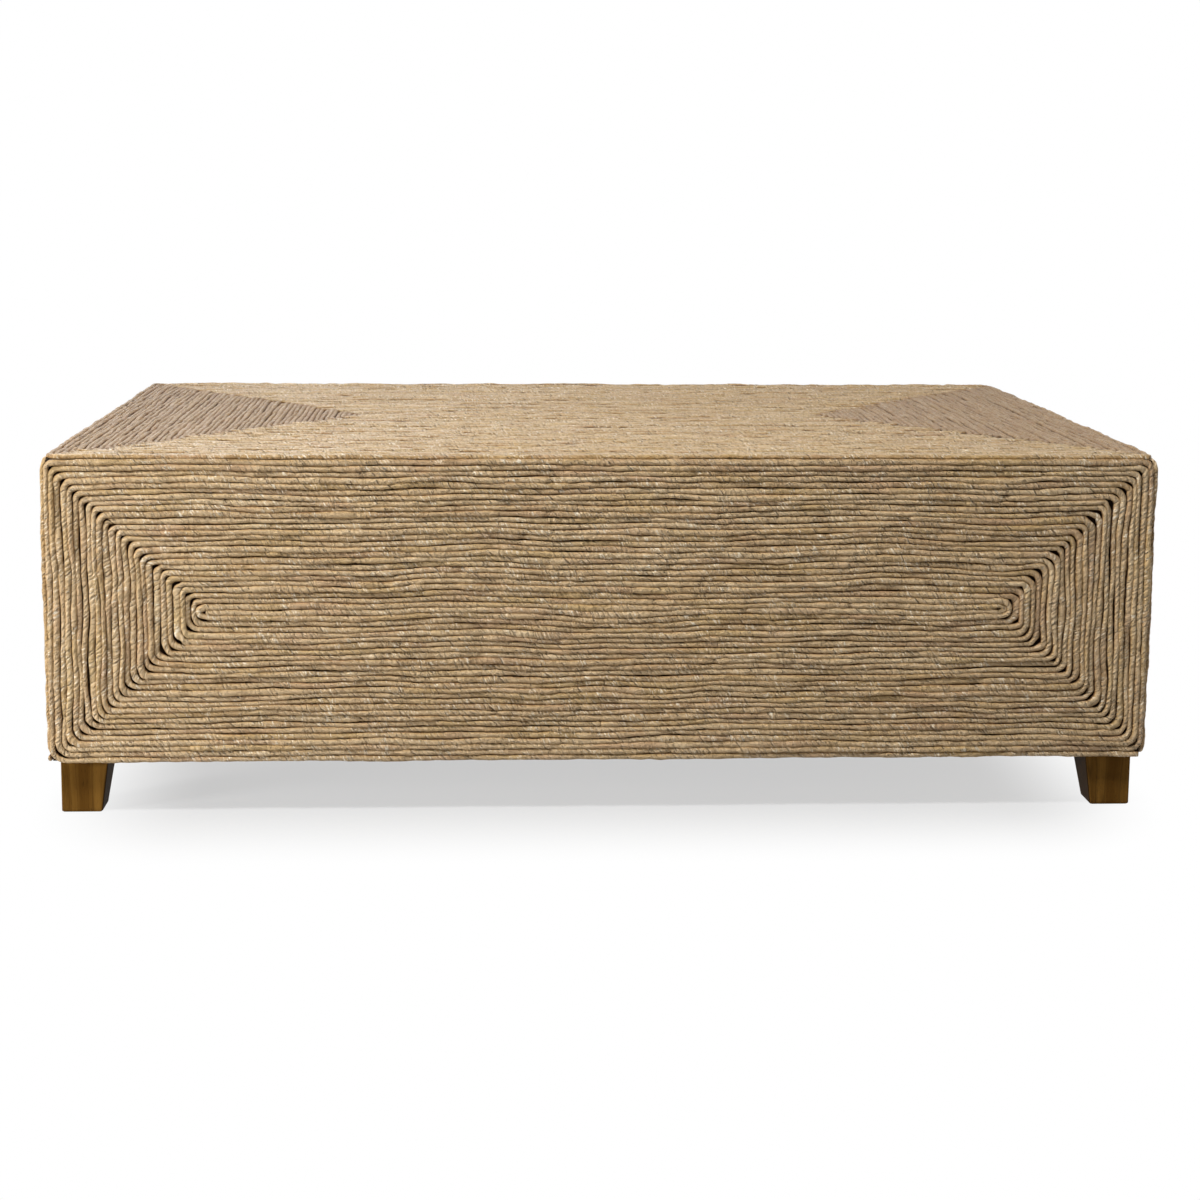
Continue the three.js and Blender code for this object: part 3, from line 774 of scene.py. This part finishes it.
def leaf_edges(tree, place, edges):
    """Edges that cross the strand at uneven distances, about one spacing apart: each stretch's own value,
    its edge as a thin line for painted shade, the lip beside the edge for a painted highlight, and the
    bulge from edge to edge."""
    spacing, thickness, lip_width = (edges[name] for name in ("spacing", "thickness", "lip_highlight"))
    cells = {"W": times(tree, place, 1 / spacing), "Scale": 1.0}
    kind = "ShaderNodeTexVoronoi"
    border = add_node(tree, kind, cells, voronoi_dimensions="1D", feature="DISTANCE_TO_EDGE")
    edge = times(tree, border.outputs["Distance"], spacing)
    leaf = add_node(tree, kind, cells, voronoi_dimensions="1D", feature="F1")
    value = add_node(tree, "ShaderNodeSeparateColor", {0: leaf.outputs["Color"]}).outputs[0]
    past_middle = maths(tree, "SUBTRACT", cells["W"], leaf.outputs["W"])
    line = below(tree, edge, thickness / 3, thickness)
    lip_highlight = times(tree, below(tree, edge, thickness, lip_width), threshold(tree, past_middle, *LIP_SIDE))
    bulge = threshold(tree, edge, 0.0, BULGE_REACH * spacing)
    return value, line, lip_highlight, bulge


def rope_material():
    """Leaf-fibre rope: leaves rolled and twisted into a strand, their edges crossing it on the slant."""
    material, tree, shader = new_material("leaf_rope")
    lay = add_node(tree, "ShaderNodeUVMap", uv_map="rope_lay").outputs[0]
    parts = add_node(tree, "ShaderNodeSeparateXYZ", {0: lay})
    along = parts.outputs["X"]
    around = parts.outputs["Y"]
    tone, from_splice, across_top_shade, free_side = (
        add_node(tree, "ShaderNodeAttribute", attribute_name=name).outputs["Fac"]
        for name in ("leaf_tone", "from_splice", "across_top_shade", "free_side")
    )

    sway = rope_speckle(tree, along, around, SWAY)
    leaf_place = slanted(tree, along, around, LEAF_LAY, sway, LEAF_SWAY)
    fibre_place = slanted(tree, along, around, FIBRE_LAY, sway, FIBRE_SWAY)
    leaf, crease_and_shade, lip_highlight, bulge = leaf_edges(tree, leaf_place, CREASES)
    opened = rope_patches(tree, along, around, CREASE_GAPS)
    crease_and_shade = times(tree, crease_and_shade, opened)
    lip_highlight = times(tree, lip_highlight, opened)
    fold, fold_line_and_shade, fold_lip_and_highlight, fold_bulge = leaf_edges(tree, leaf_place, FOLDS)
    folded = rope_patches(tree, along, around, FOLD_PATCHES)
    folded = times(tree, folded, rope_patches(tree, along, around, FOLD_GAPS))
    fold_line_and_shade = times(tree, fold_line_and_shade, folded)
    fold_lip_and_highlight = times(tree, fold_lip_and_highlight, folded)

    fibres = rope_speckle(tree, fibre_place, around, FIBRES)
    ridged = rope_patches(tree, along, around, RIDGE_PATCHES)
    ridges = times(tree, rope_patches(tree, fibre_place, around, RIDGES), ridged)
    mottle = rope_speckle(tree, along, around, MOTTLE)
    lumps = rope_speckle(tree, leaf_place, around, LUMPS)
    specks = rope_speckle(tree, fibre_place, around, FLECKS)
    flecked = rope_patches(tree, along, around, FLECK_PATCHES)
    pits = below(tree, specks, *DARK_SPECKS)
    flecks = times(tree, threshold(tree, specks, *PALE_SPECKS), flecked)
    blotches = rope_speckle(tree, along, around, BLOTCHES)

    weights = (
        (tone, 0.16),
        (leaf, 0.12),
        (fold, 0.06),
        (blotches, 0.28),
        (fibres, 0.4),
        (mottle, 0.55),
        (lumps, 0.2),
    )
    shade = 0.5 - sum(weight for pattern, weight in weights) / 2
    for pattern, weight in weights:
        shade = maths(tree, "MULTIPLY_ADD", pattern, weight, shade)
    ramp = add_node(tree, "ShaderNodeValToRGB", {"Fac": shade})
    stops = (
        (0.1, srgb(134, 99, 60)),
        (0.32, srgb(175, 140, 94)),
        (0.5, srgb(197, 163, 116)),
        (0.68, srgb(214, 184, 140)),
        (0.92, srgb(236, 213, 175)),
    )
    set_stops(ramp.color_ramp, stops)
    colour = ramp.outputs["Color"]
    rosy = rope_patches(tree, along, around, ROSY_PATCHES)
    straw = rope_patches(tree, along, around, STRAW_PATCHES)
    seam = below(tree, from_splice, *SEAM_EDGE)
    off_crown = maths(tree, "ABSOLUTE", maths(tree, "SUBTRACT", around, 0.5))
    # Painted shade on the flanks between rows, left out on the free side of the outermost turn and in part on
    # rows that cross the top
    unshaded_side = maths(tree, "MAXIMUM", free_side, times(tree, across_top_shade, CROSSING_FLANK_SHADE_LOST))
    shade_between_rows = maths(tree, "SUBTRACT", 1.0, unshaded_side)
    flank_shade = times(tree, threshold(tree, off_crown, *FLANK_SHADE_EDGE), shade_between_rows)
    # Painted highlight on the crest of the rope
    crest_highlight = below(tree, off_crown, *CREST_HIGHLIGHT_EDGE)
    # The rope's own tints, and painted light: a highlight on the crest and the lips, shade in the creases,
    # fold lines, flanks between rows and on the rows that cross the top
    tints_and_painted_light = (
        (crest_highlight, 0.25, srgb(246, 226, 194)),
        (rosy, 0.4, srgb(190, 151, 118)),
        (straw, 0.35, srgb(194, 161, 98)),
        (ridges, 0.3, srgb(112, 82, 48)),
        (flecks, 0.85, srgb(248, 236, 212)),
        (fold_lip_and_highlight, 0.3, srgb(246, 226, 192)),
        (lip_highlight, 0.45, srgb(246, 226, 192)),
        (pits, 0.3, srgb(88, 62, 32)),
        (fold_line_and_shade, 0.3, srgb(96, 62, 26)),
        (crease_and_shade, 0.6, srgb(84, 52, 20)),
        (seam, 0.8, srgb(60, 38, 18)),
        (across_top_shade, 0.52, srgb(140, 98, 52)),
        (flank_shade, 0.8, srgb(90, 52, 18)),
    )
    for pattern, strength, tint in tints_and_painted_light:
        colour = blend_colour(tree, times(tree, pattern, strength), colour, tint)

    reliefs = (
        (fibres, 0.0016),
        (mottle, 0.003),
        (lumps, 0.0035),
        (bulge, 0.0006),
        (lip_highlight, 0.0005),
        (fold_bulge, 0.0006),
        (fold_line_and_shade, -0.0009),
        (ridges, -0.0007),
        (pits, -0.0006),
        (crease_and_shade, -0.001),
        (seam, -0.0013),
    )
    height = 0.0
    for pattern, relief in reliefs:
        height = maths(tree, "MULTIPLY_ADD", pattern, relief, height)
    bump = add_node(tree, "ShaderNodeBump", {"Height": height, "Strength": 1.0, "Distance": 1.0})
    tree.links.new(colour, shader.inputs["Base Color"])
    tree.links.new(bump.outputs[0], shader.inputs["Normal"])
    for name, value in ROPE_GLOSS.items():
        shader.inputs[name].default_value = value
    return material


def set_stops(ramp, stops):
    """Gives a colour ramp these (place, colour) stops."""
    while len(ramp.elements) < len(stops):
        ramp.elements.new(1.0)
    for element, (place, colour) in zip(ramp.elements, stops):
        element.position = place
        element.color = colour


def wood_grain_group():
    """Grain of sawn wood, lengthwise along X: broad growth bands, thin dark veins that follow them, fine
    streaks and short dark pores."""
    group = bpy.data.node_groups.new("wood_grain", "ShaderNodeTree")
    for name, kind in (("Vector", "NodeSocketVector"), ("Band Width", "NodeSocketFloat")):
        group.interface.new_socket(name, in_out="INPUT", socket_type=kind)
    for name in ("Bands", "Veins", "Streaks", "Pores"):
        group.interface.new_socket(name, in_out="OUTPUT", socket_type="NodeSocketFloat")
    start = group.nodes.new("NodeGroupInput")
    end = group.nodes.new("NodeGroupOutput")
    parts = add_node(group, "ShaderNodeSeparateXYZ", {0: start.outputs["Vector"]})
    x, y, z = (parts.outputs[axis] for axis in "XYZ")

    def stretched(long, wide):
        """Coordinates in which one blotch of noise is this long along the grain and this wide across it."""
        return joined(group, times(group, x, 1 / long), times(group, y, 1 / wide), times(group, z, 1 / wide))

    warp = speckle(group, stretched(*GRAIN_WARP), detail=2.0)
    tilted = maths(group, "MULTIPLY_ADD", z, GRAIN_TILT, y)
    across = maths(group, "MULTIPLY_ADD", warp, GRAIN_WARP_SIZE, tilted)
    ring = maths(group, "DIVIDE", across, start.outputs["Band Width"])
    bands = speckle(group, joined(group, ring, times(group, x, BANDS_ALONG), BAND_LAYER), detail=1.5)
    streaks = speckle(group, stretched(*GRAIN_STREAKS), detail=3.0, roughness=0.6)
    pores = threshold(group, speckle(group, stretched(*GRAIN_PORES), detail=1.0), *PORE_EDGE)
    off_middle = maths(group, "ABSOLUTE", maths(group, "SUBTRACT", bands, 0.5))
    veins = below(group, off_middle, *VEIN_EDGE)
    for name, value in (("Bands", bands), ("Veins", veins), ("Streaks", streaks), ("Pores", pores)):
        group.links.new(value, end.inputs[name])
    return group


def along_grain(tree, axis):
    """Object coordinates turned so that the grain's axis comes first."""
    place = add_node(tree, "ShaderNodeTexCoord").outputs["Object"]
    parts = add_node(tree, "ShaderNodeSeparateXYZ", {0: place})
    order = {"x": "XYZ", "y": "YZX", "z": "ZXY"}[axis]
    return joined(tree, *(parts.outputs[name] for name in order))


def wood_material(name, group, axis, tones, band_width, roughness, relief):
    """Wood with its own dark, light and pore tones, grain axis and roughness, from the shared grain group."""
    dark, light, pore = tones
    material, tree, shader = new_material(name)
    grain = tree.nodes.new("ShaderNodeGroup")
    grain.node_tree = group
    connect(tree, grain.inputs["Vector"], along_grain(tree, axis))
    connect(tree, grain.inputs["Band Width"], band_width)
    bands = threshold(tree, grain.outputs["Bands"], *BAND_EDGE)
    streaks = maths(tree, "MULTIPLY_ADD", grain.outputs["Streaks"], STREAK_STRENGTH, -STREAK_STRENGTH / 2)
    share = add_node(tree, "ShaderNodeClamp", {"Value": maths(tree, "ADD", bands, streaks)}).outputs[0]
    colour = blend_colour(tree, share, dark, light)
    colour = blend_colour(tree, times(tree, grain.outputs["Pores"], PORE_STRENGTH), colour, pore)
    colour = blend_colour(tree, times(tree, grain.outputs["Veins"], VEIN_STRENGTH), colour, pore)
    height = maths(tree, "MULTIPLY_ADD", grain.outputs["Pores"], -1.0, grain.outputs["Streaks"])
    bump = add_node(tree, "ShaderNodeBump", {"Height": height, "Strength": GRAIN_BUMP, "Distance": relief})
    tree.links.new(colour, shader.inputs["Base Color"])
    tree.links.new(bump.outputs[0], shader.inputs["Normal"])
    shader.inputs["Roughness"].default_value = roughness
    shader.inputs["Specular IOR Level"].default_value = WOOD_SPECULAR
    return material, tree, shader, colour


def facing_outwards(tree):
    """How far a surface looks away from the table's middle, above 0 outwards and below 0 inwards."""
    place = add_node(tree, "ShaderNodeTexCoord")
    return add_node(
        tree,
        "ShaderNodeVectorMath",
        {0: place.outputs["Normal"], 1: place.outputs["Object"]},
        operation="DOT_PRODUCT",
    ).outputs["Value"]


def foot_material(group):
    """Oiled wood with upright grain, with painted shade that makes the sides that look inwards nearly black.
    """
    tones = (srgb(92, 61, 20), srgb(126, 90, 38), srgb(52, 32, 10))
    material, tree, shader, colour = wood_material("foot_wood", group, "z", tones, **FOOT_WOOD)
    # Painted shade: the sides that look inwards are darkened nearly to black
    inner = below(tree, facing_outwards(tree), *INNER_SHADE_EDGE)
    colour = blend_colour(tree, times(tree, inner, INNER_SIDE_SHADE), colour, srgb(26, 16, 6))
    tree.links.new(colour, shader.inputs["Base Color"])
    return material


def panel_material(group, name, axis):
    """Plywood that is bare inside and dark outside, under the rope, as painted shade in the gaps between the
    ropes.
    """
    bare = (srgb(196, 160, 112), srgb(222, 192, 146), srgb(150, 112, 70))
    material, tree, shader, colour = wood_material(name, group, axis, bare, **PLYWOOD)
    # Painted shade: the outer sides are dark so that the gaps between the ropes look shaded
    shaded_outside = threshold(tree, facing_outwards(tree), *SHADED_SIDE_EDGE)
    colour = blend_colour(tree, shaded_outside, colour, srgb(48, 34, 22))
    tree.links.new(colour, shader.inputs["Base Color"])
    return material


def steel_material():
    """Zinc-plated steel with a faint cloudy finish."""
    material, tree, shader = new_material("zinc_steel")
    place = add_node(tree, "ShaderNodeTexCoord").outputs["Object"]
    cloud = speckle(tree, place, scale=ZINC_CLOUDS, detail=3.0)
    colour = blend_colour(tree, cloud, srgb(166, 168, 170), srgb(200, 202, 204))
    tree.links.new(colour, shader.inputs["Base Color"])
    smoothest, duller = ZINC_ROUGHNESS
    tree.links.new(maths(tree, "MULTIPLY_ADD", cloud, duller, smoothest), shader.inputs["Roughness"])
    shader.inputs["Metallic"].default_value = 1.0
    return material


def paint(name, material):
    """Gives a CAD node its material."""
    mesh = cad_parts[name].data
    mesh.materials.clear()
    mesh.materials.append(material)


def dress_frame(group):
    """Materials of the wooden frame, the panels and the steel, each with its grain along the piece."""
    pale = (srgb(190, 152, 104), srgb(221, 190, 142), srgb(140, 100, 62))
    frame_wood = {
        axis: wood_material(f"frame_wood_{axis}", group, axis, pale, **FRAME_WOOD)[0] for axis in "xyz"
    }
    plywood = {axis: panel_material(group, f"plywood_{axis}", axis) for axis in "xy"}
    steel = steel_material()
    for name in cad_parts:
        long_side = name.endswith(("_front", "_back"))
        if name.startswith(("post_", "stud_")):
            paint(name, frame_wood["z"])
        elif name.startswith("rail_"):
            paint(name, frame_wood["x" if long_side else "y"])
        elif name.startswith(("batten_", "stretcher_")):
            paint(name, frame_wood["y"])
        elif name.endswith("_panel"):
            paint(name, plywood["y" if name.startswith(("left", "right")) else "x"])
        elif name.startswith(("foot_bolt_", "foot_insert_")):
            paint(name, steel)


def add_feet(group):
    """The four feet, of dark oiled wood with upright grain."""
    foot_wood = foot_material(group)
    for side in ("front_left", "front_right", "back_left", "back_right"):
        mesh = foot_mesh(f"oiled_foot_{side}", f"foot_{side}")
        piece = shown_piece(f"oiled_foot_{side}", mesh, foot_wood, [f"foot_{side}"])
        edges = piece.modifiers.new("hard_edges", "WEIGHTED_NORMAL")
        edges.keep_sharp = True


def seen_directly(tree):
    """1 for rays from the camera and for what mirrors and glass show, and 0 for all other light."""
    rays = add_node(tree, "ShaderNodeLightPath")
    seen = maths(tree, "MAXIMUM", rays.outputs["Is Camera Ray"], rays.outputs["Is Glossy Ray"])
    return maths(tree, "MAXIMUM", seen, rays.outputs["Is Transmission Ray"])


def distance_beyond(tree, place, half_x, half_y):
    """How far a point of the floor is from a rectangle of this half length and half width."""
    beyond = []
    for axis, half in (("X", half_x), ("Y", half_y)):
        outside = maths(tree, "SUBTRACT", maths(tree, "ABSOLUTE", place.outputs[axis]), half)
        beyond.append(maths(tree, "POWER", maths(tree, "MAXIMUM", outside, 0.0), 2.0))
    return maths(tree, "SQRT", maths(tree, "ADD", *beyond))


def add_floor():
    """A pale floor that keeps the table's shadow near it and turns white away from it."""
    mesh = bpy.data.meshes.new("floor")
    corners = [(FLOOR_HALF * x, FLOOR_HALF * y, 0) for x, y in ((-1, -1), (1, -1), (1, 1), (-1, 1))]
    mesh.from_pydata(corners, [], [(0, 1, 2, 3)])
    floor = bpy.data.objects.new("floor", mesh)
    bpy.context.scene.collection.objects.link(floor)
    material, tree, shader = new_material("floor_paper")
    shader.inputs["Base Color"].default_value = (FLOOR_GREY, FLOOR_GREY, FLOOR_GREY, 1)
    shader.inputs["Roughness"].default_value = FLOOR_ROUGHNESS
    shader.inputs["Specular IOR Level"].default_value = 0.0
    place = add_node(tree, "ShaderNodeTexCoord").outputs["Object"]
    away = distance_beyond(tree, add_node(tree, "ShaderNodeSeparateXYZ", {0: place}), *SHADOW_HALF)
    whitening = add_node(
        tree,
        "ShaderNodeMapRange",
        {"Value": away, "From Min": 0.0, "From Max": WHITE_FROM, "To Min": LEAST_WHITE, "To Max": 1.0},
        interpolation_type="SMOOTHSTEP",
    ).outputs["Result"]
    share = times(tree, whitening, seen_directly(tree))
    white = add_node(tree, "ShaderNodeEmission", {"Color": (1, 1, 1, 1), "Strength": 1.0})
    mixed = add_node(tree, "ShaderNodeMixShader", {0: share, 1: shader.outputs[0], 2: white.outputs[0]})
    tree.links.new(mixed.outputs[0], tree.nodes["Material Output"].inputs["Surface"])
    mesh.materials.append(material)


def add_world():
    """Grey room light, seen as white by the camera and in reflections."""
    world = bpy.data.worlds.new("studio")
    bpy.context.scene.world = world
    world.use_nodes = True
    tree = world.node_tree
    background = tree.nodes["Background"]
    strengths = {"Value": seen_directly(tree), "To Min": ROOM_LIGHT, "To Max": 1.0}
    strength = add_node(tree, "ShaderNodeMapRange", strengths)
    background.inputs["Color"].default_value = (1, 1, 1, 1)
    tree.links.new(strength.outputs["Result"], background.inputs["Strength"])


def add_lamp(name, place, target, size, power):
    """A soft box that faces its target."""
    light = bpy.data.lights.new(name, "AREA")
    light.shape = "RECTANGLE"
    light.size, light.size_y = size
    light.energy = power
    lamp = bpy.data.objects.new(name, light)
    lamp.location = place
    lamp.rotation_euler = (Vector(target) - Vector(place)).to_track_quat("-Z", "Y").to_euler()
    bpy.context.scene.collection.objects.link(lamp)
    return lamp


def add_lights():
    """A soft box above and in front, one behind that gives the top its silky sheen and no other light, a
    low one that grazes the front from the left, and two low ones for the right end and the back."""
    add_lamp("overhead_box", **OVERHEAD_BOX)
    sheen_box = add_lamp("sheen_box", **SHEEN_BOX)
    sheen_box.visible_diffuse = False
    sheen_box.visible_camera = False
    for name, values in (("left_box", LEFT_BOX), ("right_box", RIGHT_BOX), ("back_box", BACK_BOX)):
        low_box = add_lamp(name, **values)
        low_box.visible_glossy = False
        low_box.visible_camera = False


def add_camera():
    """The photograph's view: a little left of the middle, turned right and down, with a slight roll."""
    yaw, pitch, roll = (math.radians(angle) for angle in VIEW_TURNS)
    ahead = Vector((math.sin(yaw), math.cos(yaw), 0))
    right = Vector((math.cos(yaw), -math.sin(yaw), 0))
    up = Vector((0, 0, 1))
    forward = ahead * math.cos(pitch) - up * math.sin(pitch)
    above = up * math.cos(pitch) + ahead * math.sin(pitch)
    rolled_right = right * math.cos(roll) + above * math.sin(roll)
    rolled_up = above * math.cos(roll) - right * math.sin(roll)
    camera = bpy.data.cameras.new("camera")
    camera.sensor_width = VIEW_SENSOR
    camera.lens = VIEW_LENS
    camera.shift_x, camera.shift_y = VIEW_SHIFT
    held = bpy.data.objects.new("camera", camera)
    turn = Matrix((rolled_right, rolled_up, -forward)).transposed()
    held.matrix_world = Matrix.Translation(VIEW_PLACE) @ turn.to_4x4()
    bpy.context.scene.collection.objects.link(held)
    bpy.context.scene.camera = held


def faces():
    """The five covered faces, each seen from outside with its own up."""
    x, y, z = np.eye(3)
    thirds = ["outer", "middle", "inner"]
    halves = ["outer", "inner"]
    return [
        Face("top", 100, x, y, z, TOP_CROSS_MOVES, [f"rope_top_{part}" for part in thirds]),
        Face("front", 200, x, z, -y, SIDE_CROSS_MOVES, [f"rope_front_{part}" for part in halves]),
        Face("right", 300, y, z, x, SIDE_CROSS_MOVES, [f"rope_right_{part}" for part in halves]),
        Face("back", 400, -x, z, y, SIDE_CROSS_MOVES, [f"rope_back_{part}" for part in halves]),
        Face("left", 500, -y, z, -x, SIDE_CROSS_MOVES, [f"rope_left_{part}" for part in halves]),
    ]


rope = rope_material()
for face in faces():
    add_winding(face, rope)
grain_group = wood_grain_group()
add_feet(grain_group)
dress_frame(grain_group)
add_floor()
add_world()
add_lights()
add_camera()
bpy.context.scene.view_settings.view_transform = "Standard"
